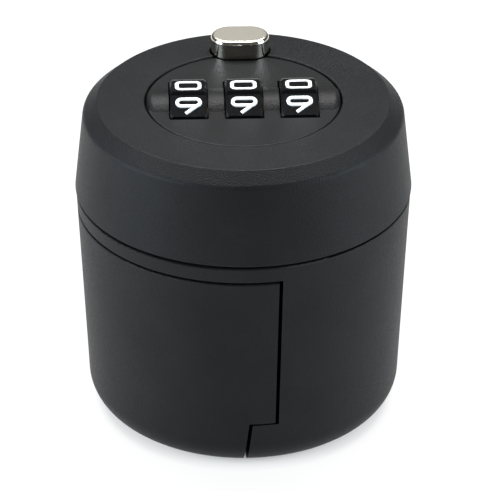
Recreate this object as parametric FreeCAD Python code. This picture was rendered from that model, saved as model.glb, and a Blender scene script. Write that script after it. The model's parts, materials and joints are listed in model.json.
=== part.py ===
"""Three-dial bottle lock, in millimetres.

A round cap holds three number dials, a push button and the bolt work. Under it a two-part skirt closes
round the top of a bottle: the right half is fixed to the cap and the left half is a jaw on a hinge pin.
Origin: centre of the base, on the bottle's axis. +Z is up, -Y is the front, the button is at the back.
"""
import FreeCAD
import Part
import math
import os

V = FreeCAD.Vector
UP = V(0, 0, 1)
ALONG = V(1, 0, 0)
FAR = 100.0

# Outer form
cap_radius = 26.0
cap_height = 14.5
cap_draft = 6.5
cap_bevel_width = 2.2
cap_bevel_height = 1.9
cap_shoulder_round = 1.2
cap_wall = 2.2
cap_roof = 1.8
cap_seam = 0.4
rim_height = 2.5
rim_step = 0.15
jaw_height = 33.9
jaw_seam = 0.3
body_draft = 2.3
body_wall = 2.4
base_round = 4.8
edge_round = 0.25
neck_radius = 14.0
lip_thickness = 3.2

# Split between the jaw and the fixed half
jaw_tongue = 4.55
tongue_lean = 0.62
slit = 0.55
tab_height = 8.2
tab_foot = -0.6
tab_lean = 0.95
step_gap = 0.3

# Hinge
hinge_inset = 3.0
barrel_radius = 2.5
pin_radius = 1.2
hinge_clearance = 0.3
knuckle_gap = 0.3
hinge_slot = 5.8
leaf_reach = 6.0

# Dials
dial_sides = 10
half_stack_dials = 1.5
dial_apothem = 6.9
dial_space = 2.8
dial_groove = 0.9
dial_groove_depth = 0.45
dial_edge = 0.2
dial_depth = 4.5
slot_clearance = 0.35
slot_side_clearance = 0.2
key_width = 0.9
key_depth = 0.5

# Dial plate
inset_set_back = 1.35
inset_gap = 0.2
inset_depth = 0.15
plate_flange = 1.35
plate_flange_thickness = 1.2
rib_radius = 5.68
rib_end_gap = 0.15
rib_end_round = 0.9

# Axle, sleeves and gates
axle_radius = 1.25
running_fit = 0.05
press_fit = 0.01
hub_wall = 0.7
tip_height = 0.9
tip_width = 1.2
tip_clearance = 0.25
cup_web = 0.45
cup_rim = 0.9
cup_depth = 0.95
cup_gap = 0.15
gate_pass = 0.45

# Chassis
chassis_floor = 1.2
chassis_wall = 2.3
chassis_play = 0.1
chassis_inset = 9.6
chassis_set_back = 2.0
bridge_thickness = 1.2
bridge_height = 3.6
bridge_gap = 0.4
spring_leaf = 0.25
detent_gap = 0.27
detent_width = 3.0
detent_set_back = 1.55
peg_radius = 0.5
peg_inset = 4.0
detent_strip = 2.0
detent_tail = 0.7

# Body flange, floor and pad
flange_width = 7.4
flange_thickness = 1.4
floor_thickness = 2.2
floor_lift = 0.2
floor_play = 0.2
spigot_play = 0.15
pad_radius = 13.5
pad_thickness = 1.8

# Bolt frame and strike
frame_thickness = 1.0
frame_clearance = 0.3
frame_rail = 2.2
frame_corner = 0.8
window_clearance = 0.5
finger_thickness = 0.7
finger_width = 2.4
bolt_left = -5.2
bolt_width = 6.0
bolt_thickness = 1.6
bolt_inset = 8.0
bolt_play = 0.3
bolt_set_back = 0.3
strike_thickness = 1.0
strike_margin = 2.7
strike_depth = 5.0
strike_play = 0.1
keeper_depth = 4.4
keeper_floor = 1.6

# Button, its guide pins and its spring
button_length = 9.1
button_width = 6.1
button_set_back = 1.3
button_rise = 2.9
button_gap = 0.28
button_edge = 0.6
button_roof = 2.0
button_flange = 0.9
button_flange_thickness = 1.0
button_flange_gap = 0.05
stem_length = 8.8
stem_width = 5.4
guide_radius = 1.0
guide_inset = 5.55
guide_set_back = 4.85
guide_margin = 1.8
guide_rise = 3.5
spring_radius = 1.45
spring_wire = 0.25
spring_play = 0.3
post_radius = 1.0
post_height = 4.0

# Screws and clips
cap_screw_radius = 1.0
cap_screw_head = 1.75
cap_screw_head_height = 1.1
cap_screw_length = 9.0
cap_screw_inset = 5.8
boss_radius = 2.4
chassis_screw_radius = 0.75
chassis_screw_head = 1.25
chassis_screw_head_height = 0.9
chassis_screw_length = 5.0
chassis_screw_place = 4.0
small_screw_radius = 0.6
small_screw_head = 1.0
small_screw_head_height = 0.7
small_screw_length = 3.0
screw_play = 0.15
clip_radius = 2.3
clip_thickness = 0.5
clip_mouth = 1.6
clip_gap = 0.05

# Heights that follow, from the base up
rim_bottom = jaw_height + jaw_seam
rim_top = rim_bottom + rim_height
cap_bottom = rim_top + cap_seam
cap_top = cap_bottom + cap_height
cap_ceiling = cap_top - cap_roof
floor_bottom = rim_bottom + floor_lift
floor_top = floor_bottom + floor_thickness
flange_top = floor_top + flange_thickness
plate_top = cap_top - inset_depth
plate_bottom = cap_ceiling - plate_flange_thickness
axis_height = cap_top - dial_depth
button_top = cap_top + button_rise

# Radii and places that follow
cap_shoulder_radius = cap_radius - (cap_height - cap_bevel_height) * math.tan(math.radians(cap_draft))
cap_inner_top = cap_radius - cap_wall - (cap_ceiling - cap_bottom) * math.tan(math.radians(cap_draft))
rim_top_radius = cap_radius - rim_step
spigot_radius = cap_radius - cap_wall - spigot_play
chassis_outer = cap_radius - chassis_inset
chassis_inner = chassis_outer - chassis_wall
stack_half = chassis_inner - chassis_play
dial_width = (stack_half - 2 * dial_space) / half_stack_dials
dial_pitch = dial_width + dial_space
inset_radius = chassis_outer - inset_set_back
plate_radius = inset_radius - inset_gap
flange_inner = cap_radius - flange_width
cap_screw_circle = cap_radius - cap_screw_inset
bolt_place = cap_radius - bolt_inset
button_place = inset_radius + button_set_back
guide_place_x = inset_radius - guide_inset
guide_place_y = button_place - guide_set_back
chassis_half_depth = guide_place_y - guide_radius - chassis_set_back
peg_place = chassis_outer - peg_inset
dial_flat = 2 * dial_apothem * math.tan(math.pi / dial_sides)
dial_reach = math.hypot(dial_apothem, (dial_flat - dial_groove) / 2)
slot_radius = dial_reach + slot_clearance
hub_radius = axle_radius + running_fit + hub_wall
cup_inner = hub_radius + 2 * tip_clearance + tip_height
cup_radius = cup_inner + cup_rim
drum_radius = cup_inner - tip_clearance
rib_hollow = cup_radius + tip_clearance
bridge_back = -(dial_reach + detent_gap + detent_set_back)
bridge_front = bridge_back - bridge_thickness
cup_start = dial_width / 2 + cup_gap
cup_end = cup_start + cup_web + cup_depth
finger_start = cup_end + cup_gap
hinge_place = cap_radius - hinge_inset
button_travel = cup_radius + gate_pass - hub_radius - tip_clearance
frame_bottom = flange_top + button_travel + frame_clearance
frame_top = frame_bottom + frame_thickness
bridge_bottom = frame_top + bridge_gap
window_half = math.sqrt(dial_reach ** 2 - (axis_height - frame_top) ** 2) + window_clearance
tongue_foot = jaw_tongue - tongue_lean
bolt_right = bolt_left + bolt_width
keeper_bottom = jaw_height - keeper_depth
bolt_tip = floor_bottom + bolt_set_back
button_flange_top = plate_bottom - button_flange_gap
button_flange_bottom = button_flange_top - button_flange_thickness
spring_pocket = spring_radius + spring_wire + spring_play
stem_screw_place = (spring_pocket + stem_length / 2) / 2
hinge_bottom = base_round + step_gap
knuckle_length = (jaw_height - hinge_bottom - 2 * knuckle_gap) / 3
dial_names = ("left", "centre", "right")
dial_places = (-dial_pitch, 0.0, dial_pitch)


def rounded_wire(corners, place):
    """Closed wire through (a, b, round) corners, each rounded; place(a, b) puts a point in space."""
    edges = []
    first = None
    last = None
    count = len(corners)
    for i in range(count):
        here = V(corners[i][0], corners[i][1], 0)
        before = V(corners[i - 1][0], corners[i - 1][1], 0) - here
        after = V(corners[(i + 1) % count][0], corners[(i + 1) % count][1], 0) - here
        radius = corners[i][2]
        start = here
        if radius > 0:
            half = before.getAngle(after) / 2
            before.normalize()
            after.normalize()
            middle = before + after
            middle.normalize()
            start = here + before * (radius / math.tan(half))
            end = here + after * (radius / math.tan(half))
            bend = here + middle * (radius / math.sin(half) - radius)
        if last is not None:
            edges.append(Part.makeLine(place(last.x, last.y), place(start.x, start.y)))
        else:
            first = start
        last = start
        if radius > 0:
            arc = Part.Arc(place(start.x, start.y), place(bend.x, bend.y), place(end.x, end.y))
            edges.append(arc.toShape())
            last = end
    edges.append(Part.makeLine(place(last.x, last.y), place(first.x, first.y)))
    return Part.Wire(edges)


def turned(corners):
    """Solid turned round the Z axis from (radius, height, round) corners."""
    wire = rounded_wire(corners, lambda r, z: V(r, 0, z))
    return Part.Face(wire).revolve(V(0, 0, 0), UP, 360)


def plate(corners, bottom, top):
    """Flat plate with a rounded outline of (x, y, round) corners."""
    wire = rounded_wire(corners, lambda x, y: V(x, y, bottom))
    return Part.Face(wire).extrude(V(0, 0, top - bottom))


def block(x0, x1, y0, y1, z0, z1):
    return Part.makeBox(x1 - x0, y1 - y0, z1 - z0, V(x0, y0, z0))


def post(radius, x, y, z0, z1):
    return Part.makeCylinder(radius, z1 - z0, V(x, y, z0), UP)


def rod(radius, x0, x1):
    """Round bar on the dials' axis."""
    return Part.makeCylinder(radius, x1 - x0, V(x0, 0, axis_height), ALONG)


def tube(outer, inner, x0, x1):
    return rod(outer, x0, x1).cut(rod(inner, x0, x1))


def end_circles(bar):
    """The two end circles of a bar on the dials' axis."""
    middle = bar.CenterOfMass.x
    return [edge for edge in bar.Edges if abs(edge.CenterOfMass.x - middle) > bar.BoundBox.XLength / 4]


def end_edges(bar):
    """Upper edges of a bar's two ends, where its round top meets the curved end faces."""
    edges = []
    for edge in bar.Edges:
        box = edge.BoundBox
        if box.XMin * box.XMax > 0 and box.ZMax > axis_height + rib_radius / 2:
            edges.append(edge)
    return edges


def stadium(length, width, bottom, top):
    """Straight-sided oval round the button's centre, long way along X."""
    half = (length - width) / 2
    end = width / 2
    right_side = Part.Arc(V(half, -end, 0), V(half + end, 0, 0), V(half, end, 0)).toShape()
    left_side = Part.Arc(V(-half, end, 0), V(-half - end, 0, 0), V(-half, -end, 0)).toShape()
    front = Part.makeLine(V(-half, -end, 0), V(half, -end, 0))
    back = Part.makeLine(V(half, end, 0), V(-half, end, 0))
    shape = Part.Face(Part.Wire([front, right_side, back, left_side])).extrude(V(0, 0, top - bottom))
    return shape.translated(V(0, button_place, bottom))


def screw(x, y, seat, radius, length, head_radius, head_height):
    """Pan-head screw driven upward, its head under the seat."""
    shank = post(radius, x, y, seat, seat + length)
    head = post(head_radius, x, y, seat - head_height, seat)
    return shank.fuse(head).removeSplitter()


def corner_places(circle):
    """Four places on a circle, between the axes."""
    return [(circle * a * math.sqrt(0.5), circle * b * math.sqrt(0.5)) for a in (-1, 1) for b in (-1, 1)]


def chassis_screw_places():
    middle = chassis_inner + chassis_wall / 2
    return [(a * middle, b * chassis_screw_place) for a in (-1, 1) for b in (-1, 1)]


def strike_screw_places():
    side = strike_margin / 2
    place = -(bolt_place + bolt_thickness / 2 + bolt_play + small_screw_head)
    return [(bolt_left - bolt_play - side, place), (bolt_right + bolt_play + side, place)]


def stem_screw_places():
    return [(-stem_screw_place, button_place), (stem_screw_place, button_place)]


def guide_places():
    return [(-guide_place_x, guide_place_y), (guide_place_x, guide_place_y)]


def body_radius(height):
    """Outer radius of the skirt, which narrows downward."""
    return rim_top_radius - (rim_top - height) * math.tan(math.radians(body_draft))


def top_cap():
    """Bevelled cap with a round opening for the dial plate and four screw bosses."""
    shell = turned([
        (inset_radius, cap_top, edge_round),
        (cap_shoulder_radius - cap_bevel_width, cap_top, edge_round),
        (cap_shoulder_radius, cap_top - cap_bevel_height, cap_shoulder_round),
        (cap_radius, cap_bottom, edge_round),
        (cap_radius - cap_wall, cap_bottom, 0),
        (cap_inner_top, cap_ceiling, 0),
        (inset_radius, cap_ceiling, 0),
    ])
    for x, y in corner_places(cap_screw_circle):
        shell = shell.fuse(post(boss_radius, x, y, flange_top, cap_ceiling + cap_roof / 2))
    for x, y in corner_places(cap_screw_circle):
        pilot_end = floor_bottom + cap_screw_head_height + cap_screw_length + frame_clearance
        shell = shell.cut(post(cap_screw_radius + press_fit, x, y, flange_top, pilot_end))
    hole = stadium(button_length + 2 * button_gap, button_width + 2 * button_gap, plate_bottom, cap_top)
    return shell.cut(hole).removeSplitter()


def dial_plate():
    """Recessed round plate with a half-round rib over the axle and three dial slots."""
    disc = turned([
        (0, plate_bottom, 0),
        (plate_radius + plate_flange, plate_bottom, 0),
        (plate_radius + plate_flange, cap_ceiling, 0),
        (plate_radius, cap_ceiling, 0),
        (plate_radius, plate_top, edge_round),
        (0, plate_top, 0),
    ])
    rib = rod(rib_radius, -plate_radius, plate_radius)
    rib = rib.common(post(plate_radius - rib_end_gap, 0, 0, plate_bottom, cap_top + rib_radius))
    rib = rib.makeFillet(rib_end_round, end_edges(rib))
    disc = disc.fuse(rib).cut(rod(rib_hollow, -stack_half, stack_half))
    for place in dial_places:
        half = dial_width / 2 + slot_side_clearance
        disc = disc.cut(rod(slot_radius, place - half, place + half))
    notch = stadium(button_length + 2 * button_gap, button_width + 2 * button_gap, plate_bottom, cap_top)
    return disc.cut(notch).removeSplitter()


def front_side(side, foot, lean, height, bottom, top):
    """Space in front of the axis, on one side of an edge that starts at the foot and leans over the height."""
    slope = lean / height
    corners = [
        V(foot + slope * bottom, -FAR, bottom),
        V(side * FAR, -FAR, bottom),
        V(side * FAR, -FAR, top),
        V(foot + slope * top, -FAR, top),
    ]
    return Part.Face(Part.makePolygon(corners + corners[:1])).extrude(V(0, FAR, 0))


def skirt(top, top_round):
    """Whole skirt, a cup with a round neck hole in its base, from which both halves are cut."""
    return turned([
        (neck_radius, 0, 0),
        (body_radius(0), 0, base_round),
        (body_radius(top), top, top_round),
        (body_radius(top) - body_wall, top, 0),
        (body_radius(lip_thickness) - body_wall, lip_thickness, 0),
        (neck_radius, lip_thickness, 0),
    ])


def hinge_knuckles():
    """Heights of the lower, middle and upper knuckle."""
    step = knuckle_length + knuckle_gap
    return [(hinge_bottom + i * step, hinge_bottom + i * step + knuckle_length) for i in range(3)]


def hinge_leaf(bottom, top, side):
    """Barrel and the web that ties it to the wall on one side."""
    reach = sorted((0, side * leaf_reach))
    web = block(reach[0], reach[1], hinge_place - barrel_radius, hinge_place, bottom, top)
    inside = post(body_radius(bottom) - body_wall / 2, 0, 0, bottom, top)
    return web.common(inside).fuse(post(barrel_radius, 0, hinge_place, bottom, top))


def hinge_relief(bottom, top):
    return post(barrel_radius + hinge_clearance, 0, hinge_place, bottom, top)


def bolt_space(play, bottom, top):
    """Upright slot for the bolt's tongue."""
    depth = bolt_thickness / 2 + play
    return block(bolt_left - play, bolt_right + play, -bolt_place - depth, depth - bolt_place, bottom, top)


def lower_body():
    """Rim all round, with the fixed right half of the skirt, the front tab and the middle knuckle."""
    rim_inner = body_radius(rim_bottom) - body_wall
    rim = turned([
        (rim_inner, rim_bottom, 0),
        (body_radius(rim_bottom), rim_bottom, edge_round),
        (rim_top_radius, rim_top, edge_round),
        (spigot_radius, rim_top, 0),
        (spigot_radius, flange_top, 0),
        (flange_inner, flange_top, 0),
        (flange_inner, floor_top, 0),
        (rim_inner, floor_top, 0),
    ])
    half = skirt(rim_top - edge_round, 0)
    half = half.cut(block(-FAR, slit / 2, 0, FAR, -FAR, FAR))
    half = half.cut(front_side(-1, tab_foot + slit / 2, tab_lean, tab_height, -tab_height, tab_height))
    half = half.cut(front_side(-1, tongue_foot + slit, tongue_lean, jaw_height, tab_height, cap_top))
    half = half.cut(block(-FAR, hinge_slot / 2, hinge_place, FAR, -FAR, FAR))
    lower, middle, upper = hinge_knuckles()
    half = half.cut(hinge_relief(lower[0] - knuckle_gap, upper[1] + jaw_seam))
    half = half.fuse(hinge_leaf(middle[0], middle[1], 1))
    body = rim.fuse(half)
    body = body.cut(post(pin_radius + press_fit, 0, hinge_place, middle[0], middle[1]))
    for x, y in corner_places(cap_screw_circle):
        body = body.cut(post(cap_screw_radius + screw_play, x, y, floor_top, flange_top))
    return body.cut(bolt_space(bolt_play, floor_top, flange_top)).removeSplitter()


def hinged_jaw():
    """Left half of the skirt with two hinge knuckles and the keeper block behind its free edge."""
    jaw = skirt(jaw_height, edge_round)
    keeper = block(
        bolt_left - bolt_play - strike_margin - strike_play - edge_round,
        tongue_foot,
        -FAR,
        bolt_thickness / 2 + 2 * bolt_play + strike_play + edge_round - bolt_place,
        keeper_bottom,
        jaw_height,
    )
    jaw = jaw.fuse(keeper.common(post(body_radius(keeper_bottom) - body_wall / 2, 0, 0, 0, jaw_height)))
    jaw = jaw.cut(front_side(1, tongue_foot, tongue_lean, jaw_height, -tab_height, cap_top))
    jaw = jaw.cut(front_side(1, tab_foot - slit / 2, tab_lean, tab_height, -tab_height, tab_height + step_gap))
    jaw = jaw.cut(block(-slit / 2, FAR, 0, FAR, -FAR, FAR))
    jaw = jaw.cut(block(-hinge_slot / 2, FAR, hinge_place, FAR, -FAR, FAR))
    lower, middle, upper = hinge_knuckles()
    jaw = jaw.cut(hinge_relief(lower[0], upper[1]))
    for bottom, top in (lower, upper):
        jaw = jaw.fuse(hinge_leaf(bottom, top, -1))
    jaw = jaw.cut(post(pin_radius + running_fit, 0, hinge_place, lower[0], upper[1]))
    jaw = jaw.cut(bolt_space(bolt_play, keeper_bottom + keeper_floor, jaw_height))
    jaw = jaw.cut(strike_blank(strike_play))
    for x, y in strike_screw_places():
        pilot_bottom = jaw_height - small_screw_length - strike_play
        jaw = jaw.cut(post(small_screw_radius + press_fit, x, y, pilot_bottom, jaw_height))
    return jaw.removeSplitter()


def strike_blank(play):
    """Outline of the strike plate, let into the keeper's top."""
    back = bolt_thickness / 2 + 2 * bolt_play - bolt_place
    return block(
        bolt_left - bolt_play - strike_margin - play,
        bolt_right + bolt_play + strike_margin + play,
        back - strike_depth - play,
        back + play,
        jaw_height - strike_thickness,
        jaw_height,
    )


def flat_head(x, y, play):
    """Countersunk head, flush with the strike."""
    bottom = jaw_height - small_screw_head_height
    return Part.makeCone(
        small_screw_radius + play, small_screw_head + play, small_screw_head_height, V(x, y, bottom), UP
    )


def jaw_strike():
    """Steel plate with the slot that the bolt drops into."""
    strike = strike_blank(0).cut(bolt_space(bolt_play, keeper_bottom, jaw_height))
    for x, y in strike_screw_places():
        hole = post(small_screw_radius + screw_play, x, y, jaw_height - strike_thickness, jaw_height)
        strike = strike.cut(hole).cut(flat_head(x, y, press_fit))
    return strike


def strike_screws():
    screws = []
    for x, y in strike_screw_places():
        shank_bottom = jaw_height - small_screw_length
        shank_top = jaw_height - small_screw_head_height
        shank = post(small_screw_radius, x, y, shank_bottom, shank_top)
        screws.append(shank.fuse(flat_head(x, y, 0)).removeSplitter())
    return Part.makeCompound(screws)


def hinge_pin():
    lower, middle, upper = hinge_knuckles()
    return post(pin_radius, 0, hinge_place, lower[0], upper[1] - knuckle_gap)


def floor_plate():
    """Round plate under the bolt work, with the bolt's slot and the post for the button's spring."""
    radius = body_radius(rim_bottom) - body_wall - floor_play
    floor = turned([
        (0, floor_bottom, 0),
        (radius, floor_bottom, 0),
        (radius, floor_top, 0),
        (0, floor_top, 0),
    ])
    floor = floor.fuse(post(post_radius, 0, button_place, floor_bottom, floor_top + post_height))
    floor = floor.cut(bolt_space(bolt_play, floor_bottom, floor_top))
    for x, y in corner_places(cap_screw_circle):
        floor = floor.cut(post(cap_screw_radius + screw_play, x, y, floor_bottom, floor_top))
        recess = floor_bottom + cap_screw_head_height
        floor = floor.cut(post(cap_screw_head + screw_play, x, y, floor_bottom, recess))
    for x, y in chassis_screw_places():
        floor = floor.cut(post(chassis_screw_radius + screw_play, x, y, floor_bottom, floor_top))
        recess = floor_bottom + chassis_screw_head_height
        floor = floor.cut(post(chassis_screw_head + screw_play, x, y, floor_bottom, recess))
    for x, y in guide_places():
        floor = floor.cut(post(guide_radius + press_fit, x, y, floor_bottom + floor_lift, floor_top))
    return floor.removeSplitter()


def bottle_pad():
    """Soft disc that the bottle's mouth meets."""
    return turned([
        (0, floor_bottom - pad_thickness, 0),
        (pad_radius, floor_bottom - pad_thickness, 0),
        (pad_radius, floor_bottom, 0),
        (0, floor_bottom, 0),
    ])


def cap_screws():
    seat = floor_bottom + cap_screw_head_height
    return Part.makeCompound([
        screw(x, y, seat, cap_screw_radius, cap_screw_length, cap_screw_head, cap_screw_head_height)
        for x, y in corner_places(cap_screw_circle)
    ])


def chassis_screws():
    seat = floor_bottom + chassis_screw_head_height
    return Part.makeCompound([
        screw(
            x, y, seat, chassis_screw_radius, chassis_screw_length,
            chassis_screw_head, chassis_screw_head_height,
        )
        for x, y in chassis_screw_places()
    ])


def upright(corners, x0, x1):
    """Plate standing across X, with a rounded outline of (y, z, round) corners."""
    wire = rounded_wire(corners, lambda y, z: V(x0, y, z))
    return Part.Face(wire).extrude(V(x1 - x0, 0, 0))


def lock_chassis():
    """Cast cradle: floor, two cheeks with open saddles for the axle, and a bridge for the detent spring."""
    bridge_top = bridge_bottom + bridge_height
    cheek_back = chassis_screw_place + chassis_screw_head + screw_play
    chassis = block(
        -chassis_outer, chassis_outer, bridge_front, chassis_half_depth, floor_top, floor_top + chassis_floor
    )
    for side in (-1, 1):
        cheek_sides = sorted((side * chassis_inner, side * chassis_outer))
        cheek = upright([
            (bridge_front, floor_top, 0),
            (cheek_back, floor_top, 0),
            (cheek_back, axis_height, frame_corner),
            (hub_radius + frame_corner, plate_bottom, 0),
            (-hub_radius - frame_corner, plate_bottom, 0),
            (bridge_front, bridge_top, frame_corner),
        ], cheek_sides[0], cheek_sides[1])
        chassis = chassis.fuse(cheek)
    chassis = chassis.fuse(
        block(-chassis_outer, chassis_outer, bridge_front, bridge_back, bridge_bottom, bridge_top)
    )
    for side in (-1, 1):
        peg_height = bridge_bottom + detent_strip / 2
        peg = Part.makeCylinder(
            peg_radius, bridge_thickness + 2 * spring_leaf, V(side * peg_place, bridge_front, peg_height),
            V(0, 1, 0),
        )
        chassis = chassis.fuse(peg)
    saddle = axle_radius + press_fit
    chassis = chassis.cut(rod(saddle, -FAR, FAR))
    chassis = chassis.cut(block(-FAR, FAR, -saddle, saddle, axis_height, plate_bottom))
    for x, y in chassis_screw_places():
        pilot_top = floor_bottom + chassis_screw_head_height + chassis_screw_length + screw_play
        chassis = chassis.cut(post(chassis_screw_radius + press_fit, x, y, floor_top, pilot_top))
    ring = post(FAR, 0, 0, floor_top, flange_top + floor_play)
    ring = ring.cut(post(flange_inner - floor_play, 0, 0, floor_top, flange_top + floor_play))
    return chassis.cut(ring).removeSplitter()


def detent_spring():
    """Sprung comb: one strip on the bridge and a bent finger in front of each dial."""
    nose = -(dial_reach + detent_gap)
    bend = bridge_bottom + detent_strip
    comb = block(
        -peg_place - frame_corner, peg_place + frame_corner, bridge_back, bridge_back + spring_leaf,
        bridge_bottom, bend,
    )
    for place in dial_places:
        finger = upright([
            (bridge_back, bend - spring_leaf, 0),
            (bridge_back, bend, 0),
            (nose - spring_leaf, axis_height, 0),
            (nose - spring_leaf - detent_tail, axis_height + detent_tail, 0),
            (nose - detent_tail, axis_height + detent_tail, 0),
            (nose, axis_height, 0),
            (bridge_back + spring_leaf, bend, 0),
            (bridge_back + spring_leaf, bend - spring_leaf, 0),
        ], place - detent_width / 2, place + detent_width / 2)
        comb = comb.fuse(finger)
    for side in (-1, 1):
        hole = Part.makeCylinder(
            peg_radius + press_fit, 2 * spring_leaf,
            V(side * peg_place, bridge_back, bridge_bottom + detent_strip / 2), V(0, 1, 0),
        )
        comb = comb.cut(hole)
    return comb.removeSplitter()


def dial_axle():
    end = chassis_outer + clip_gap + 2 * clip_thickness
    return rod(axle_radius, -end, end)


def axle_clips():
    clips = []
    start = chassis_outer + clip_gap
    for side in (-1, 1):
        ends = sorted((side * start, side * (start + clip_thickness)))
        clip = tube(clip_radius, axle_radius + press_fit, ends[0], ends[1])
        mouth = block(-FAR, FAR, -clip_mouth / 2, clip_mouth / 2, axis_height - 2 * clip_radius, axis_height)
        clips.append(clip.cut(mouth))
    return Part.makeCompound(clips)


def axle_spacer():
    start = -stack_half + clip_gap
    return tube(hub_radius, axle_radius + running_fit, start, -dial_pitch - dial_width / 2 - clip_gap)


def dial_wheel(place):
    """Ten-sided wheel with a groove between its flats and ten keyways in its bore."""
    corners = []
    half = (dial_flat - dial_groove) / 2
    for i in range(dial_sides):
        turn = 2 * math.pi * i / dial_sides
        out = V(0, math.sin(turn), math.cos(turn))
        round_way = V(0, math.cos(turn), -math.sin(turn))
        between = turn + math.pi / dial_sides
        bottom = (dial_reach - dial_groove_depth) * V(0, math.sin(between), math.cos(between))
        corners += [out * dial_apothem - round_way * half, out * dial_apothem + round_way * half, bottom]
    start = V(place - dial_width / 2, 0, axis_height)
    outline = Part.makePolygon([start + corner for corner in corners + corners[:1]])
    wheel = Part.Face(outline).extrude(V(dial_width, 0, 0))
    barrel = rod(dial_reach + dial_edge, place - dial_width / 2, place + dial_width / 2)
    bevel = dial_reach + 2 * dial_edge - dial_apothem
    wheel = wheel.common(barrel.makeChamfer(bevel, end_circles(barrel)))
    wheel = wheel.cut(rod(drum_radius + running_fit, place - dial_width, place + dial_width))
    for i in range(dial_sides):
        keyway = key_bar(place - dial_width, place + dial_width, running_fit)
        wheel = wheel.cut(keyway.rotated(V(0, 0, axis_height), ALONG, 360.0 * i / dial_sides))
    return wheel.removeSplitter()


def key_bar(x0, x1, play):
    half = key_width / 2 + play
    return block(x0, x1, -half, half, axis_height + hub_radius, axis_height + drum_radius + key_depth + play)


def gate_sleeve(place):
    """Drum keyed into the dial, with a cup whose rim has one gate for the bolt's finger."""
    half = dial_width / 2
    sleeve = rod(hub_radius, place - half, place + half + dial_space - clip_gap)
    sleeve = sleeve.fuse(rod(drum_radius, place - half + cup_gap, place + cup_start))
    sleeve = sleeve.fuse(key_bar(place - half + cup_gap, place + half - cup_gap, 0))
    sleeve = sleeve.fuse(rod(cup_radius, place + cup_start, place + cup_end))
    sleeve = sleeve.cut(tube(cup_inner, hub_radius, place + cup_start + cup_web, place + cup_end))
    gate = tip_width / 2 + tip_clearance
    sleeve = sleeve.cut(block(
        place + cup_start + cup_web, place + cup_end, -gate, gate,
        axis_height - cup_radius, axis_height - cup_inner + tip_clearance,
    ))
    return sleeve.cut(rod(axle_radius + running_fit, place - dial_pitch, place + dial_pitch)).removeSplitter()


def bolt_frame():
    """Stamped ladder under the dials: three gate fingers, a tongue in front and a tail under the button."""
    ladder = chassis_inner - 2 * chassis_play
    rail = window_half + frame_rail
    shoulder = guide_place_x + guide_margin
    guide_end = guide_place_y + guide_margin
    tail = stem_length / 2
    tail_end = button_place + stem_width / 2
    tongue_end = -(bolt_place + bolt_thickness / 2)
    frame = plate([
        (-ladder, -rail, frame_corner),
        (bolt_left, -rail, 0),
        (bolt_left, tongue_end, 0),
        (bolt_right, tongue_end, 0),
        (bolt_right, -rail, 0),
        (ladder, -rail, frame_corner),
        (ladder, rail, frame_corner),
        (shoulder, rail, 0),
        (shoulder, guide_end, frame_corner),
        (tail, guide_end, 0),
        (tail, tail_end, frame_corner),
        (-tail, tail_end, frame_corner),
        (-tail, guide_end, 0),
        (-shoulder, guide_end, frame_corner),
        (-shoulder, rail, 0),
        (-ladder, rail, frame_corner),
    ], frame_bottom, frame_top)
    frame = frame.fuse(bolt_space(0, bolt_tip, frame_bottom))
    tip_top = axis_height - hub_radius - tip_clearance
    for place in dial_places:
        half = dial_width / 2 + 2 * cup_gap
        frame = frame.cut(block(place - half, place + half, -window_half, window_half, frame_bottom, frame_top))
        start = place + finger_start
        finger = block(
            start, start + finger_thickness, -finger_width / 2, finger_width / 2, frame_bottom, tip_top
        )
        tip = block(
            place + cup_start + cup_web + cup_gap, start, -tip_width / 2, tip_width / 2,
            tip_top - tip_height, tip_top,
        )
        frame = frame.fuse(finger).fuse(tip)
    for x, y in guide_places():
        frame = frame.cut(post(guide_radius + running_fit, x, y, frame_bottom, frame_top))
    for x, y in stem_screw_places():
        frame = frame.cut(post(small_screw_radius + screw_play, x, y, frame_bottom, frame_top))
    frame = frame.cut(post(spring_pocket, 0, button_place, frame_bottom, frame_top))
    return frame.removeSplitter()


def guide_pins():
    return Part.makeCompound([
        post(guide_radius, x, y, floor_bottom + floor_lift, frame_top + guide_rise) for x, y in guide_places()
    ])


def push_button():
    """Plated button with a stop flange and a hollow stem for the spring."""
    head = stadium(button_length, button_width, button_flange_bottom, button_top)
    top_edges = [edge for edge in head.Edges if edge.BoundBox.ZMin > button_top - button_edge]
    head = head.makeFillet(button_edge, top_edges)
    wide = 2 * button_flange
    flange = stadium(button_length + wide, button_width + wide, button_flange_bottom, button_flange_top)
    stem = stadium(stem_length, stem_width, frame_top, button_flange_bottom)
    button = head.fuse(flange).fuse(stem)
    button = button.cut(post(spring_pocket, 0, button_place, frame_top, button_top - button_roof))
    for x, y in stem_screw_places():
        pilot_top = frame_bottom + small_screw_length + screw_play
        button = button.cut(post(small_screw_radius + press_fit, x, y, frame_top, pilot_top))
    return button.removeSplitter()


def stem_screws():
    return Part.makeCompound([
        screw(
            x, y, frame_bottom, small_screw_radius, small_screw_length,
            small_screw_head, small_screw_head_height,
        )
        for x, y in stem_screw_places()
    ])


def button_spring():
    """Sleeve of the coil spring's size, between the floor and the button's roof."""
    top = button_top - button_roof
    outer = post(spring_radius + spring_wire, 0, button_place, floor_top, top)
    return outer.cut(post(spring_radius - spring_wire, 0, button_place, floor_top, top))


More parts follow.
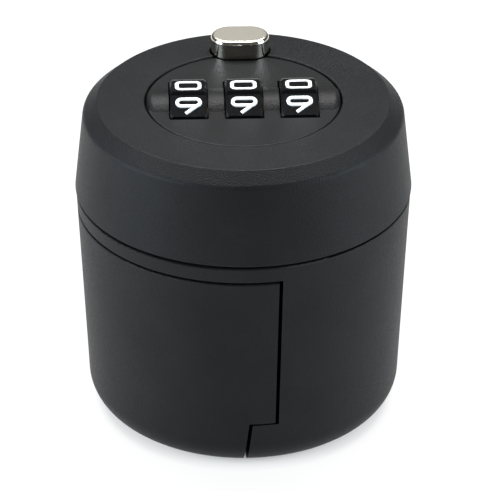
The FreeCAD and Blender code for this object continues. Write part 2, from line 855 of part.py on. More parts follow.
pieces = {
    "top_cap": top_cap(),
    "dial_plate": dial_plate(),
    "lower_body": lower_body(),
    "hinged_jaw": hinged_jaw(),
    "hinge_pin": hinge_pin(),
    "jaw_strike": jaw_strike(),
    "strike_screws": strike_screws(),
    "floor_plate": floor_plate(),
    "bottle_pad": bottle_pad(),
    "cap_screws": cap_screws(),
    "lock_chassis": lock_chassis(),
    "chassis_screws": chassis_screws(),
    "detent_spring": detent_spring(),
    "dial_axle": dial_axle(),
    "axle_clips": axle_clips(),
    "axle_spacer": axle_spacer(),
    "bolt_frame": bolt_frame(),
    "guide_pins": guide_pins(),
    "push_button": push_button(),
    "stem_screws": stem_screws(),
    "button_spring": button_spring(),
}
for name, place in zip(dial_names, dial_places):
    pieces["dial_wheel_" + name] = dial_wheel(place)
    pieces["gate_sleeve_" + name] = gate_sleeve(place)

os.makedirs("parts", exist_ok=True)
for name, shape in pieces.items():
    shape.exportStep(os.path.join("parts", name + ".step"))
    box = shape.BoundBox
    print(name, len(shape.Solids), "solid(s)", round(shape.Volume, 1), "mm3, top", round(box.ZMax, 2))
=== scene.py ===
# %% [markdown]
# # A combination bottle lock
# The lock is a round black moulding that closes over a bottle's mouth. The frame brings every working piece
# at its real size. This lesson gives each piece its finish, and makes what is too fine for the solids: the
# printed digits, the spring's coil, the screws' recesses and threads, and the rings on the pad.

# %% Load the frame
import json
import math

import bmesh
import bpy
from mathutils import Matrix, Vector

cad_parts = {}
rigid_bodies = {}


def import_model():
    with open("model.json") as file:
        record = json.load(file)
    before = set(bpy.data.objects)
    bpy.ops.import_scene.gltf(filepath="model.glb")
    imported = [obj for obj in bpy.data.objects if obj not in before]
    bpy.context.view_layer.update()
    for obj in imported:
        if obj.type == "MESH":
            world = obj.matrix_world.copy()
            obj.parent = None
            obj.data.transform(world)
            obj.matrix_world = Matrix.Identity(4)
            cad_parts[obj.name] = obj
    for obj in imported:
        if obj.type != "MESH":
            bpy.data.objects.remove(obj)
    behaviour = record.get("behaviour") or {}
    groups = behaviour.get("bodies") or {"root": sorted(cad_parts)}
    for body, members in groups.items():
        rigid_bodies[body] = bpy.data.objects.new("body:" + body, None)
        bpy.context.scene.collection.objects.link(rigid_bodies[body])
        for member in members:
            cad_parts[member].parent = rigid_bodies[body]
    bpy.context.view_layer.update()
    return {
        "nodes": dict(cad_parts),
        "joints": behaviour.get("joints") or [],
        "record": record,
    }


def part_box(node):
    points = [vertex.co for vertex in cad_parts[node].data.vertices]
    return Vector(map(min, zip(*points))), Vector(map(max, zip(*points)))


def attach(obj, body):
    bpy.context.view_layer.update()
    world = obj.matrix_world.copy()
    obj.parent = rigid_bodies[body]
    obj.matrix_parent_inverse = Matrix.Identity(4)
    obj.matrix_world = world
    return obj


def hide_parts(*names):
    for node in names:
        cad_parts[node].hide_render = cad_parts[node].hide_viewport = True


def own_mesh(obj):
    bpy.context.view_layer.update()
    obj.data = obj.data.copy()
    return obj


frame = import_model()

MM = 0.001
nodes = frame["nodes"]

# %% [markdown]
# ## Places
# Every place below is read from the frame: the dials' axis from their joint, their flats and centres from
# their boxes. Typed numbers would do too, but they would be wrong as soon as a size of the part changed. A
# dial has ten flats, and the flat that faces up carries the zero.

# %% Read the places
DIALS = ("left", "centre", "right")
DIGITS = 10
dial_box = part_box("dial_wheel_centre")
axis_height = next(joint["pos_m"][2] for joint in frame["joints"] if joint["name"] == "centre_dial_turn")
flat_radius = dial_box[1][2] - axis_height
dial_centre = {}
for dial in DIALS:
    low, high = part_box("dial_wheel_" + dial)
    dial_centre[dial] = (low[0] + high[0]) / 2
print("dial axis", round(axis_height / MM, 2), "flat", round(flat_radius / MM, 2), "mm")

# %% [markdown]
# ## Finishes
# The shells are one moulded black plastic with a fine spark-eroded grain. Two noises make it: a slow one
# varies the tone a little, and a fine one varies the gloss and is the grain itself, as a bump. An image of
# a grain would need every shell laid out flat first, while noise in object space needs no layout. The dials
# are the same plastic, polished. The button is satin nickel on top with bright sides, because its sides
# aren't brushed. The spacer, the detent comb and the brass sleeves show through the dial slots, which look
# only black, so they are given near-black tones: painted shade for the dark inside of the slots.


# %% Material helpers
def new_material(name):
    """A node material, its tree and its shader."""
    made = bpy.data.materials.new(name)
    made.use_nodes = True
    return made, made.node_tree, made.node_tree.nodes["Principled BSDF"]


def noise(tree, size, stretch=(1, 1, 1), detail=2.0):
    """Noise in the row frame, with features of about that size in metres."""
    place = tree.nodes.new("ShaderNodeTexCoord")
    scale = tree.nodes.new("ShaderNodeMapping")
    scale.inputs["Scale"].default_value = stretch
    texture = tree.nodes.new("ShaderNodeTexNoise")
    texture.inputs["Scale"].default_value = 1 / size
    texture.inputs["Detail"].default_value = detail
    tree.links.new(place.outputs["Object"], scale.inputs["Vector"])
    tree.links.new(scale.outputs["Vector"], texture.inputs["Vector"])
    return texture.outputs["Fac"]


# %% Put a noise to use
NOISE_MIDDLE = (0.3, 0.7)


def spread(tree, value, low, high):
    """Maps the middle of a noise to a range."""
    node = tree.nodes.new("ShaderNodeMapRange")
    node.inputs["From Min"].default_value = NOISE_MIDDLE[0]
    node.inputs["From Max"].default_value = NOISE_MIDDLE[1]
    node.inputs["To Min"].default_value = low
    node.inputs["To Max"].default_value = high
    tree.links.new(value, node.inputs["Value"])
    return node.outputs["Result"]


def tones(tree, value, dark, light):
    """Maps a noise to a range of colours."""
    node = tree.nodes.new("ShaderNodeMix")
    node.data_type = "RGBA"
    node.inputs["A"].default_value = (*dark, 1)
    node.inputs["B"].default_value = (*light, 1)
    tree.links.new(spread(tree, value, 0, 1), node.inputs["Factor"])
    return node.outputs["Result"]


def bump(tree, height, depth, strength):
    """Raises a surface by a noise, up to a depth in metres."""
    node = tree.nodes.new("ShaderNodeBump")
    node.inputs["Strength"].default_value = strength
    node.inputs["Distance"].default_value = depth
    tree.links.new(height, node.inputs["Height"])
    return node.outputs["Normal"]


# %% A finish of two tones
def finish(
    name, tone, roughness, grain, depth, strength,
    metallic=0.0, stretch=(1, 1, 1), cloud_size=9 * MM, gloss=0.5,
):
    """A surface of two tones and two roughnesses with a grain of the given size and depth."""
    made, tree, shader = new_material(name)
    cloud = noise(tree, cloud_size, stretch)
    fine = noise(tree, grain, stretch)
    tree.links.new(tones(tree, cloud, *tone), shader.inputs["Base Color"])
    tree.links.new(spread(tree, fine, *roughness), shader.inputs["Roughness"])
    tree.links.new(bump(tree, fine, depth, strength), shader.inputs["Normal"])
    shader.inputs["Metallic"].default_value = metallic
    shader.inputs["Specular IOR Level"].default_value = gloss
    return made


# %% The button's nickel
NICKEL_TONE = ((0.74, 0.70, 0.60), (0.84, 0.80, 0.69))
BRUSH_SIZE = 0.5 * MM
BRUSH_DEPTH = 0.004 * MM
BRUSH_STRENGTH = 0.25
SATIN_STARTS = 0.7
BRIGHT_SIDE = 0.07
SATIN_TOP = 0.32


def nickel_finish():
    """Satin nickel: brushed where it faces up, bright on its sides."""
    made, tree, shader = new_material("satin_nickel")
    brushed = noise(tree, BRUSH_SIZE, stretch=(1, 12, 1), detail=3.0)
    facing = tree.nodes.new("ShaderNodeTexCoord")
    parts = tree.nodes.new("ShaderNodeSeparateXYZ")
    tree.links.new(facing.outputs["Normal"], parts.inputs["Vector"])
    satin = tree.nodes.new("ShaderNodeMapRange")
    satin.inputs["From Min"].default_value = SATIN_STARTS
    satin.inputs["From Max"].default_value = 1.0
    satin.inputs["To Min"].default_value = BRIGHT_SIDE
    satin.inputs["To Max"].default_value = SATIN_TOP
    tree.links.new(parts.outputs["Z"], satin.inputs["Value"])
    tree.links.new(satin.outputs["Result"], shader.inputs["Roughness"])
    tree.links.new(tones(tree, brushed, *NICKEL_TONE), shader.inputs["Base Color"])
    tree.links.new(bump(tree, brushed, BRUSH_DEPTH, BRUSH_STRENGTH), shader.inputs["Normal"])
    shader.inputs["Metallic"].default_value = 1.0
    return made


# %% Make the finishes
shell_black = finish(
    "moulded_black", tone=((0.0050, 0.0053, 0.0058), (0.0070, 0.0073, 0.0079)), roughness=(0.36, 0.56),
    grain=0.19 * MM, depth=0.09 * MM, strength=1.0, gloss=0.13,
)
plate_black = finish(
    "plate_black", tone=((0.0070, 0.0070, 0.0072), (0.0095, 0.0095, 0.0098)), roughness=(0.38, 0.52),
    grain=0.26 * MM, depth=0.06 * MM, strength=1.0, gloss=0.12,
)
dial_black = finish(
    "polished_black", tone=((0.0030, 0.0030, 0.0032), (0.0045, 0.0045, 0.0047)), roughness=(0.18, 0.28),
    grain=0.3 * MM, depth=0.006 * MM, strength=0.2, gloss=0.2,
)
digit_white = finish(
    "digit_white", tone=((0.70, 0.70, 0.69), (0.80, 0.80, 0.79)), roughness=(0.40, 0.55),
    grain=0.12 * MM, depth=0.01 * MM, strength=0.2, cloud_size=2 * MM,
)
nickel = nickel_finish()
steel = finish(
    "bright_steel", tone=((0.50, 0.50, 0.51), (0.60, 0.60, 0.61)), roughness=(0.22, 0.40),
    grain=0.3 * MM, depth=0.006 * MM, strength=0.2, metallic=1.0, stretch=(1, 1, 6),
)
die_cast = finish(
    "die_cast_zinc", tone=((0.36, 0.36, 0.37), (0.46, 0.46, 0.47)), roughness=(0.42, 0.62),
    grain=0.25 * MM, depth=0.02 * MM, strength=0.4, metallic=1.0,
)
# Painted shade: the brass sleeves get a very dark brass tone, standing in for the shade inside the dial slots
# where they show.
brass = finish(
    "slot_shade_brass", tone=((0.070, 0.052, 0.028), (0.11, 0.082, 0.046)), roughness=(0.45, 0.60),
    grain=0.25 * MM, depth=0.006 * MM, strength=0.2, metallic=1.0, stretch=(8, 1, 1),
)
soft_pad = finish(
    "soft_pad", tone=((0.030, 0.030, 0.032), (0.042, 0.042, 0.044)), roughness=(0.70, 0.88),
    grain=0.35 * MM, depth=0.05 * MM, strength=0.5,
)
# Painted shade: the spacer and the detent comb get a near-black steel tone, standing in for the shade inside
# the dial slots where they show.
slot_shade_black = finish(
    "slot_shade_steel", tone=((0.010, 0.010, 0.011), (0.016, 0.016, 0.017)), roughness=(0.45, 0.60),
    grain=0.3 * MM, depth=0.006 * MM, strength=0.2, metallic=1.0,
)

# %% Give each solid its finish
finish_of_slot = {
    "black_shell": shell_black,
    "black_plate": plate_black,
    "black_dial": dial_black,
    "brass": brass,
    "nickel": nickel,
    "soft_pad": soft_pad,
    "die_cast": die_cast,
    "steel": steel,
}
# The spacer and the detent comb take the near-black tone of painted shade.
finish_of_node = {"axle_spacer": slot_shade_black, "detent_spring": slot_shade_black}
for subpart in frame["record"]["subparts"]:
    node = nodes[subpart["node"]]
    node.data.materials.clear()
    node.data.materials.append(finish_of_node.get(node.name, finish_of_slot[subpart["material_slot"]]))
print("finishes:", len(finish_of_slot) + 1, "for", len(nodes), "solids")

# %% [markdown]
# ## Digits
# The digits are white, wide and rounded, and nearly fill their flats. A font could write them, but most
# fonts' digits are narrow, and stretching one makes its upright strokes thicker than the others. So each
# digit is a centre line, drawn here with straight runs and arcs in a box two units wide and two high.
# Geometry Nodes then sweeps a flat stroke along each line and turns the ten digits round the dial's axis.
# The zero is on top and the nine faces the front. A digit's second line lies a hair higher than its first,
# so that the two don't flicker where they cross.


# %% Arcs and rounded boxes
def arc(centre, size, start, stop, steps=14):
    """Points on an ellipse between two angles in degrees."""
    points = []
    for i in range(steps + 1):
        turn = math.radians(start + (stop - start) * i / steps)
        points.append((centre[0] + size[0] * math.cos(turn), centre[1] + size[1] * math.sin(turn)))
    return points


PILL_RISE = 1.4
PILL_STEPS = 6


def pill(low, high, bend):
    """Closed rounded box between two heights, as wide as the digit."""
    rise = min(bend * PILL_RISE, (high - low) / 2)
    corners = [(1, low, -90), (1, high, 0), (-1, high, 90), (-1, low, 180)]
    points = []
    for side, height, start in corners:
        inward = rise if height == low else -rise
        points += arc((side * (1 - bend), height + inward), (bend, rise), start, start + 90, PILL_STEPS)
    return points


# %% Draw the digits
digit_lines = {
    0: [(pill(-1, 1, 0.38), True)],
    1: [([(-0.45, 0.55), (0.1, 1), (0.1, -1)], False)],
    2: [(arc((0, 0.4), (0.95, 0.6), 165, -20) + [(-0.95, -1), (1, -1)], False)],
    3: [(arc((0, 0.5), (0.9, 0.5), 160, -80) + arc((0, -0.5), (1, 0.5), 80, -160), False)],
    4: [([(0.45, -1), (0.45, 1), (-1, -0.4), (1, -0.4)], False)],
    5: [([(0.9, 1), (-0.75, 1), (-0.9, 0.15)] + arc((0, -0.35), (1, 0.65), 120, -150), False)],
    6: [(pill(-1, 0.03, 0.36), True), ([(-0.94, -0.25), (0.14, 1)], False)],
    7: [([(-0.95, 1), (0.95, 1), (-0.2, -1)], False)],
    8: [(pill(0, 1, 0.32), True), (pill(-1, 0, 0.32), True)],
    9: [(pill(-0.03, 1, 0.36), True), ([(0.94, 0.25), (-0.14, -1)], False)],
}

# %% Lay the digits on a flat
DIGIT_WIDTH = 4.0 * MM
DIGIT_HEIGHT = 2.8 * MM
STROKE = 0.54 * MM
PROUD = 0.05 * MM
LINE_RISE = 0.01 * MM
ROUND_END = (0.5, 0.8, 0.95, 0.995)


def round_end(end, before):
    """Points past the end of a line, with the widths of a round end."""
    way = (end - before).normalized()
    return [(end + way * share * STROKE / 2, math.sqrt(1 - share ** 2)) for share in ROUND_END]


def digit_curve(digit):
    """Centre lines of a digit, lying on a flat of the dial."""
    curve = bpy.data.curves.new(f"digit_{digit}", "CURVE")
    curve.dimensions = "3D"
    curve.twist_mode = "Z_UP"
    across = (DIGIT_WIDTH - STROKE) / 2
    along = (DIGIT_HEIGHT - STROKE) / 2
    for rank, (line, closed) in enumerate(digit_lines[digit]):
        height = flat_radius + rank * LINE_RISE
        places = [Vector((x * across, y * along, height)) for x, y in line]
        run = [(place, 1.0) for place in places]
        if not closed:
            run = round_end(places[0], places[1])[::-1] + run + round_end(places[-1], places[-2])
        spline = curve.splines.new("POLY")
        spline.points.add(len(run) - 1)
        spline.use_cyclic_u = closed
        for point, (place, width) in zip(spline.points, run):
            point.co = (*place, 1)
            point.radius = width
    return bpy.data.objects.new(f"digit_{digit}", curve)


digit_set = bpy.data.collections.new("digit_lines")
for digit in range(DIGITS):
    digit_set.objects.link(digit_curve(digit))


# %% Tree helpers
def new_tree(name, inputs):
    """A geometry tree with named inputs, its start and its end."""
    tree = bpy.data.node_groups.new(name, "GeometryNodeTree")
    tree.interface.new_socket("Geometry", in_out="OUTPUT", socket_type="NodeSocketGeometry")
    tree.interface.new_socket("Geometry", in_out="INPUT", socket_type="NodeSocketGeometry")
    for title, kind in inputs:
        tree.interface.new_socket(title, in_out="INPUT", socket_type="NodeSocket" + kind)
    return tree, tree.nodes.new("NodeGroupInput"), tree.nodes.new("NodeGroupOutput")


def add(tree, kind, **links):
    """A node whose inputs are linked to the given outputs or set to the given values."""
    node = tree.nodes.new(kind)
    for title, value in links.items():
        socket = node.inputs[title.replace("_", " ")]
        if isinstance(value, bpy.types.NodeSocket):
            tree.links.new(value, socket)
        else:
            socket.default_value = value
    return node


def close_tree(tree, geometry, material, end):
    """Makes real geometry of the instances and gives it its material."""
    real = add(tree, "GeometryNodeRealizeInstances", Geometry=geometry)
    coated = add(tree, "GeometryNodeSetMaterial", Geometry=real.outputs["Geometry"], Material=material)
    tree.links.new(coated.outputs["Geometry"], end.inputs["Geometry"])


def grow(name, tree, values):
    """Runs a tree once and keeps what it makes as a plain mesh object."""
    host = bpy.data.objects.new(name + "_host", bpy.data.meshes.new(name + "_host"))
    bpy.context.scene.collection.objects.link(host)
    modifier = host.modifiers.new(tree.name, "NODES")
    modifier.node_group = tree
    for item in tree.interface.items_tree:
        if item.in_out == "INPUT" and item.name in values:
            modifier[item.identifier] = values[item.name]
    host.update_tag()
    depsgraph = bpy.context.evaluated_depsgraph_get()
    mesh = bpy.data.meshes.new_from_object(host.evaluated_get(depsgraph), depsgraph=depsgraph)
    bpy.data.objects.remove(host, do_unlink=True)
    mesh.name = name
    piece = bpy.data.objects.new(name, mesh)
    bpy.context.scene.collection.objects.link(piece)
    return piece


# %% Digit ring tree
def digit_tree():
    """Ten digits round an axis along X, one to a flat."""
    tree, start, end = new_tree(
        "digit_ring",
        [("Digits", "Collection"), ("Count", "Int"), ("Step", "Float"), ("Stroke", "Float"),
         ("Thickness", "Float"), ("Centre", "Vector"), ("Material", "Material")],
    )
    given = start.outputs
    lines = add(tree, "GeometryNodeCollectionInfo", Collection=given["Digits"], Separate_Children=True)
    lines.inputs["Reset Children"].default_value = True
    profile = add(
        tree, "GeometryNodeCurvePrimitiveQuadrilateral", Width=given["Stroke"], Height=given["Thickness"]
    )
    swept = add(
        tree, "GeometryNodeCurveToMesh", Curve=lines.outputs["Instances"],
        Profile_Curve=profile.outputs["Curve"],
    )
    swept.inputs["Fill Caps"].default_value = True
    points = add(tree, "GeometryNodePoints", Count=given["Count"])
    index = tree.nodes.new("GeometryNodeInputIndex")
    turn = tree.nodes.new("ShaderNodeMath")
    turn.operation = "MULTIPLY"
    tree.links.new(index.outputs["Index"], turn.inputs[0])
    tree.links.new(given["Step"], turn.inputs[1])
    rotation = add(tree, "ShaderNodeCombineXYZ", X=turn.outputs["Value"])
    ring = add(
        tree, "GeometryNodeInstanceOnPoints", Points=points.outputs["Points"], Instance=swept.outputs["Mesh"],
        Pick_Instance=True, Instance_Index=index.outputs["Index"], Rotation=rotation.outputs["Vector"],
    )
    placed = add(
        tree, "GeometryNodeTransform", Geometry=ring.outputs["Instances"], Translation=given["Centre"]
    )
    close_tree(tree, placed.outputs["Geometry"], given["Material"], end)
    return tree


# %% Print the digits on the dials
ring_of_digits = digit_tree()
for dial in DIALS:
    piece = grow(
        f"digits_{dial}",
        ring_of_digits,
        {
            "Digits": digit_set,
            "Count": DIGITS,
            "Step": -2 * math.pi / DIGITS,
            "Stroke": STROKE,
            "Thickness": 2 * PROUD,
            "Centre": (dial_centre[dial], 0, axis_height),
            "Material": digit_white,
        },
    )
    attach(piece, f"{dial}_dial")
    print(piece.name, len(piece.data.polygons), "faces")
for line in list(digit_set.objects):
    bpy.data.objects.remove(line, do_unlink=True)
bpy.data.collections.remove(digit_set)

# %% [markdown]
# ## Spring
# The solid of the button's spring is a plain sleeve. Here it becomes a coil of round wire, swept along a
# spiral. A Screw modifier could wind it too, but a tree with named sizes makes the screws' threads as well.
# The spiral's height and radius come from the sleeve's box, so the coil fills the same space.


# %% Coil tree
COIL_STEPS = 28
WIRE_SIDES = 10


def coil_tree():
    """A wire swept along a spiral that stands on a point."""
    tree, start, end = new_tree(
        "coil",
        [("Turns", "Float"), ("Radius", "Float"), ("Height", "Float"), ("Wire radius", "Float"),
         ("Foot", "Vector"), ("Material", "Material")],
    )
    given = start.outputs
    spiral = add(
        tree, "GeometryNodeCurveSpiral", Resolution=COIL_STEPS, Rotations=given["Turns"],
        Start_Radius=given["Radius"], End_Radius=given["Radius"], Height=given["Height"],
    )
    profile = add(
        tree, "GeometryNodeCurvePrimitiveCircle", Resolution=WIRE_SIDES, Radius=given["Wire radius"]
    )
    swept = add(
        tree, "GeometryNodeCurveToMesh", Curve=spiral.outputs["Curve"], Profile_Curve=profile.outputs["Curve"]
    )
    swept.inputs["Fill Caps"].default_value = True
    placed = add(tree, "GeometryNodeTransform", Geometry=swept.outputs["Mesh"], Translation=given["Foot"])
    close_tree(tree, placed.outputs["Geometry"], given["Material"], end)
    return tree


# %% Wind the spring
WIRE_RADIUS = 0.25 * MM
COIL_TURNS = 14
low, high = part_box("button_spring")
spring_foot = ((low[0] + high[0]) / 2, (low[1] + high[1]) / 2, low[2])
spring_height = high[2] - low[2]
coil = coil_tree()
spring = grow(
    "spring_coil",
    coil,
    {
        "Turns": float(COIL_TURNS),
        "Radius": (high[0] - low[0]) / 2 - WIRE_RADIUS,
        "Height": spring_height - 2 * WIRE_RADIUS,
        "Wire radius": WIRE_RADIUS,
        "Foot": (spring_foot[0], spring_foot[1], spring_foot[2] + WIRE_RADIUS),
        "Material": steel,
    },
)
spring.data.shade_smooth()
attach(spring, "housing")
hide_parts("button_spring")
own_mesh(spring)
print("spring:", COIL_TURNS, "turns,", len(spring.data.polygons), "faces")

# %% [markdown]
# ## Screws
# The solids of the screws are plain pins with plain heads. A real one has a domed head, a cross recess and
# a thread. One screw of each size is turned from its outline, its recess is cut with a Boolean, and its
# thread is a ridge from the same coil tree. The thread could be cut as well, but a Boolean along a coil is
# slow and often fails. Geometry Nodes then sets one screw at each corner of the screws' box.


# %% Turned outlines
TURN_STEPS = 32
WELD = 0.001 * MM


def turned(name, outline, steps=TURN_STEPS):
    """A solid turned round the Z axis from (radius, height) points that start and end on the axis."""
    form = bmesh.new()
    points = [form.verts.new((radius, 0, height)) for radius, height in outline]
    edges = [form.edges.new(pair) for pair in zip(points, points[1:])]
    bmesh.ops.spin(
        form, geom=points + edges, axis=(0, 0, 1), cent=(0, 0, 0), angle=2 * math.pi, steps=steps,
        use_duplicate=False,
    )
    bmesh.ops.remove_doubles(form, verts=form.verts[:], dist=WELD)
    bmesh.ops.recalc_face_normals(form, faces=form.faces[:])
    mesh = bpy.data.meshes.new(name)
    form.to_mesh(mesh)
    form.free()
    piece = bpy.data.objects.new(name, mesh)
    bpy.context.scene.collection.objects.link(piece)
    return piece


def cross_cutter(reach, width, top, bottom):
    """Two crossed bars for a recess, turned half a step so that no corner meets an edge of the head."""
    form = bmesh.new()
    turn = Matrix.Rotation(math.pi / TURN_STEPS, 4, "Z")
    lift = Matrix.Translation((0, 0, (top + bottom) / 2))
    for size in ((reach, width), (width, reach)):
        scale = Matrix.Diagonal((*size, top - bottom, 1))
        bmesh.ops.create_cube(form, size=1, matrix=lift @ turn @ scale)
    mesh = bpy.data.meshes.new("cross_cutter")
    form.to_mesh(mesh)
    form.free()
    cutter = bpy.data.objects.new("cross_cutter", mesh)
    bpy.context.scene.collection.objects.link(cutter)
    return cutter


def settled(piece):
    """The piece's mesh with its modifiers applied."""
    depsgraph = bpy.context.evaluated_depsgraph_get()
    mesh = bpy.data.meshes.new_from_object(piece.evaluated_get(depsgraph), depsgraph=depsgraph)
    piece.modifiers.clear()
    return mesh


# %% Make a screw
def cut_away(piece, cutter):
    """Cuts a recess out of a screw's head."""
    boolean = piece.modifiers.new("recess", "BOOLEAN")
    boolean.operation = "DIFFERENCE"
    boolean.solver = "EXACT"
    boolean.use_self = True
    boolean.object = cutter
    piece.data = settled(piece)
    bpy.data.objects.remove(cutter, do_unlink=True)


CORE_SHARE = 0.78
PITCH_SHARE = 0.55
THREAD_START = 0.6
RECESS_REACH = 1.2
RECESS_WIDTH = 0.34
RECESS_TOP = 0.45


def make_screw(name, radius, length, head_radius, head_height):
    """A screw with its seat at the origin, its shank up and its head down."""
    core = CORE_SHARE * radius
    ridge = (radius - core) / 2
    body = turned(name, [
        (0, -head_height), (0.6 * head_radius, -head_height), (0.88 * head_radius, -0.8 * head_height),
        (head_radius, -0.4 * head_height), (head_radius, 0), (core, 0), (core, length - core), (0, length),
    ])
    cutter = cross_cutter(
        RECESS_REACH * head_radius, RECESS_WIDTH * head_radius, -RECESS_TOP * head_height, -2 * head_height
    )
    cut_away(body, cutter)
    pitch = PITCH_SHARE * radius
    turns = (length - 2 * radius) / pitch
    thread = grow(
        name + "_thread",
        coil,
        {
            "Turns": turns,
            "Radius": radius - ridge,
            "Height": turns * pitch,
            "Wire radius": ridge,
            "Foot": (0, 0, THREAD_START * radius),
            "Material": steel,
        },
    )
    form = bmesh.new()
    form.from_mesh(body.data)
    form.from_mesh(thread.data)
    form.to_mesh(body.data)
    form.free()
    bpy.data.objects.remove(thread, do_unlink=True)
    return body


# %% Screw grid tree
def grid_tree():
    """One copy of a screw at each point of a grid that is two points wide."""
    tree, start, end = new_tree(
        "screw_grid",
        [("Screw", "Object"), ("Across", "Float"), ("Along", "Float"), ("Rows", "Int"), ("Seat", "Vector"),
         ("Material", "Material")],
    )
    given = start.outputs
    screw = add(tree, "GeometryNodeObjectInfo", Object=given["Screw"])
    grid = add(
        tree, "GeometryNodeMeshGrid", Size_X=given["Across"], Size_Y=given["Along"], Vertices_X=2,
        Vertices_Y=given["Rows"],
    )
    copies = add(
        tree, "GeometryNodeInstanceOnPoints", Points=grid.outputs["Mesh"], Instance=screw.outputs["Geometry"]
    )
    placed = add(
        tree, "GeometryNodeTransform", Geometry=copies.outputs["Instances"], Translation=given["Seat"]
    )
    close_tree(tree, placed.outputs["Geometry"], given["Material"], end)
    return tree


# %% Drive the screws
screw_grid = grid_tree()
SCREWS = {
    "cap_screws": {"radius": 1.0 * MM, "head_radius": 1.75 * MM, "head_height": 1.1 * MM},
    "chassis_screws": {"radius": 0.75 * MM, "head_radius": 1.25 * MM, "head_height": 0.9 * MM},
}
for name, size in SCREWS.items():
    low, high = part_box(name)
    length = high[2] - low[2] - size["head_height"]
    pattern = make_screw(name + "_pattern", size["radius"], length, size["head_radius"], size["head_height"])
    set_of_four = grow(
        "threaded_" + name,
        screw_grid,
        {
            "Screw": pattern,
            "Across": high[0] - low[0] - 2 * size["head_radius"],
            "Along": high[1] - low[1] - 2 * size["head_radius"],
            "Rows": 2,
            "Seat": (0, 0, low[2] + size["head_height"]),
            "Material": steel,
        },
    )
    bpy.data.objects.remove(pattern, do_unlink=True)
    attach(set_of_four, "housing")
    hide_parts(name)
    print(set_of_four.name, len(set_of_four.data.polygons), "faces")

# %% [markdown]
# ## Strike screws
# The two screws of the strike are countersunk, with their heads up and flush with the plate, so they show
# when the jaw is open. They are turned in the same way, with a recess but no thread, because their shanks
# are never seen.

# %% Recess the strike's screws
low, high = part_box("strike_screws")
flat_head = (high[1] - low[1]) / 2
flat_shank = 0.6 * flat_head
flat_top = high[2]
flat_neck = flat_top - 0.7 * flat_head
recess_width = 0.32 * flat_head
recess_depth = 0.45 * flat_head
flat_screw = turned("flat_screw_pattern", [
    (0, low[2]), (flat_shank, low[2]), (flat_shank, flat_neck), (flat_head, flat_top), (0, flat_top),
])
cutter = cross_cutter(
    RECESS_REACH * flat_head, recess_width, flat_top + recess_depth, flat_top - recess_depth
)
cut_away(flat_screw, cutter)
strike_pair = grow(
    "recessed_strike_screws",
    screw_grid,
    {
        "Screw": flat_screw,
        "Across": high[0] - low[0] - 2 * flat_head,
        "Along": 0.0,
        "Rows": 1,
        "Seat": ((low[0] + high[0]) / 2, (low[1] + high[1]) / 2, 0),
        "Material": steel,
    },
)
bpy.data.objects.remove(flat_screw, do_unlink=True)
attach(strike_pair, "jaw")
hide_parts("strike_screws")
print(strike_pair.name, len(strike_pair.data.polygons), "faces")

# %% [markdown]
# ## Pad
# A soft disc under the lock's floor plate meets the bottle's mouth. A plain disc would look like a coin, so
# its outline is turned with a rounded edge and two raised rings, as many moulded seals have.

# %% Mould the pad
low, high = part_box("bottle_pad")
pad_radius = (high[0] - low[0]) / 2
pad_depth = high[2] - low[2]
RING_DEPTH = 0.35 * MM
RING_HALF = 0.7 * MM
CREST_HALF = 0.4 * RING_HALF
RING_SHARES = (0.42, 0.72)
PAD_STEPS = 96
pad_outline = [(0, RING_DEPTH)]
for share in RING_SHARES:
    ring = share * pad_radius
    pad_outline += [(ring - RING_HALF, RING_DEPTH), (ring - CREST_HALF, 0)]
    pad_outline += [(ring + CREST_HALF, 0), (ring + RING_HALF, RING_DEPTH)]
pad_outline += [(pad_radius - 2 * RING_DEPTH, RING_DEPTH), (pad_radius - 0.5 * RING_DEPTH, 1.4 * RING_DEPTH)]
pad_outline += [(pad_radius, 2.4 * RING_DEPTH), (pad_radius, pad_depth), (0, pad_depth)]
pad = turned("ringed_pad", [(radius, low[2] + height) for radius, height in pad_outline], PAD_STEPS)
pad.data.materials.append(soft_pad)
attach(pad, "housing")
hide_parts("bottle_pad")
print("pad:", len(pad.data.polygons), "faces")

# %% [markdown]
# ## Floor and light
# The photo is a catalogue picture on white. A cool soft light stands on each side, a little in front of the
# lock, and a wide one hangs above and behind it. No light faces the front, which is what draws the body's
# dark middle and its light edges. More light would whiten the floor, but it would grey the black lock too.
# So the floor is paper that the camera sees nearer to white than its light makes it. It is tinted a little
# warm, so that the cool lights leave its shadow grey.

# %% Floor
REACH = 3.0
floor_mesh = bpy.data.meshes.new("paper_floor")
floor_mesh.from_pydata(
    [(-REACH, -REACH, 0), (REACH, -REACH, 0), (REACH, REACH, 0), (-REACH, REACH, 0)], [], [(0, 1, 2, 3)]
)
floor = bpy.data.objects.new("paper_floor", floor_mesh)
bpy.context.scene.collection.objects.link(floor)
paper = finish(
    "white_paper", tone=((0.91, 0.88, 0.84), (0.93, 0.90, 0.86)), roughness=(0.85, 0.95),
    grain=0.8 * MM, depth=0.01 * MM, strength=0.05,
)
floor_mesh.materials.append(paper)
print("floor reaches", REACH, "m")


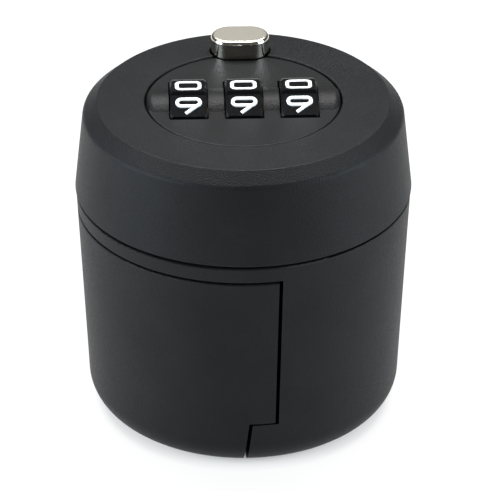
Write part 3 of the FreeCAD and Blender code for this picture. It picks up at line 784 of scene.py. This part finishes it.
# %% Whiten the paper
def brighten(made, share, inside, outside):
    """Shows the paper nearer to white, to the camera and in reflections, but not under the lock."""
    tree = made.node_tree
    rays = tree.nodes.new("ShaderNodeLightPath")
    seen = rays.outputs["Is Camera Ray"]
    for title in ("Is Glossy Ray", "Is Transmission Ray"):
        either = tree.nodes.new("ShaderNodeMath")
        either.operation = "MAXIMUM"
        tree.links.new(seen, either.inputs[0])
        tree.links.new(rays.outputs[title], either.inputs[1])
        seen = either.outputs["Value"]
    weight = tree.nodes.new("ShaderNodeMath")
    weight.operation = "MULTIPLY"
    place = tree.nodes.new("ShaderNodeTexCoord")
    distance = tree.nodes.new("ShaderNodeVectorMath")
    distance.operation = "LENGTH"
    tree.links.new(place.outputs["Object"], distance.inputs[0])
    ramp = tree.nodes.new("ShaderNodeMapRange")
    ramp.inputs["From Min"].default_value = inside
    ramp.inputs["From Max"].default_value = outside
    ramp.inputs["To Max"].default_value = share
    tree.links.new(distance.outputs["Value"], ramp.inputs["Value"])
    tree.links.new(ramp.outputs["Result"], weight.inputs[1])
    tree.links.new(seen, weight.inputs[0])
    glow = tree.nodes.new("ShaderNodeEmission")
    blend = tree.nodes.new("ShaderNodeMixShader")
    tree.links.new(weight.outputs["Value"], blend.inputs["Fac"])
    tree.links.new(tree.nodes["Principled BSDF"].outputs["BSDF"], blend.inputs[1])
    tree.links.new(glow.outputs["Emission"], blend.inputs[2])
    tree.links.new(blend.outputs["Shader"], tree.nodes["Material Output"].inputs["Surface"])


WHITE_SHARE = 0.92
UNDER_LOCK = 19 * MM
CLEAR_OF_LOCK = 25 * MM
brighten(paper, WHITE_SHARE, UNDER_LOCK, CLEAR_OF_LOCK)

# %% Background
SKY_STRENGTH = 0.1
world = bpy.data.worlds.new("studio")
bpy.context.scene.world = world
world.use_nodes = True
sky = world.node_tree.nodes["Background"]
sky.inputs["Color"].default_value = (1, 1, 1, 1)
sky.inputs["Strength"].default_value = SKY_STRENGTH
print("sky strength", SKY_STRENGTH)


# %% Lights
AIM = Vector((0, 0, 25 * MM))


def softbox(name, place, size, power, colour=(1, 1, 1)):
    """A rectangular light that looks at the middle of the lock."""
    lamp = bpy.data.lights.new(name, "AREA")
    lamp.shape = "RECTANGLE"
    lamp.size = size[0]
    lamp.size_y = size[1]
    lamp.energy = power
    lamp.color = colour
    light = bpy.data.objects.new(name, lamp)
    light.location = place
    light.rotation_euler = (AIM - Vector(place)).to_track_quat("-Z", "Y").to_euler()
    bpy.context.scene.collection.objects.link(light)


COOL = (0.76, 0.88, 1.0)
softbox("left_box", place=(-0.57, -0.17, 0.17), size=(0.4, 0.4), power=6.4, colour=COOL)
softbox("right_box", place=(0.57, -0.17, 0.17), size=(0.4, 0.4), power=5.2, colour=COOL)
softbox("top_box", place=(0, 0.30, 0.85), size=(1.0, 0.4), power=22)
print("lights: 3")

# %% [markdown]
# ## Camera
# The camera looks down at the lock from the front with a long lens, a little to the left of the middle. Its
# height and its distance come from the ellipses of the cap in the photo.

# %% Camera
TARGET = Vector((0, 0, 25.6 * MM))
DISTANCE = 0.5
RISE = math.radians(30.45)
SWING = math.radians(-1.9)
SENSOR_MM = 36
LENS_MM = 233.7
SHIFT = 0.0053
lens = bpy.data.cameras.new("photo_camera")
lens.sensor_width = SENSOR_MM
lens.lens = LENS_MM
lens.shift_x = SHIFT
lens.clip_start = 10 * MM
camera = bpy.data.objects.new("photo_camera", lens)
toward = Vector((math.cos(RISE) * math.sin(SWING), -math.cos(RISE) * math.cos(SWING), math.sin(RISE)))
camera.location = TARGET + DISTANCE * toward
camera.rotation_euler = (-toward).to_track_quat("-Z", "Y").to_euler()
bpy.context.scene.collection.objects.link(camera)
bpy.context.scene.camera = camera
bpy.context.scene.view_settings.view_transform = "Standard"
print("camera at", [round(value, 3) for value in camera.location])
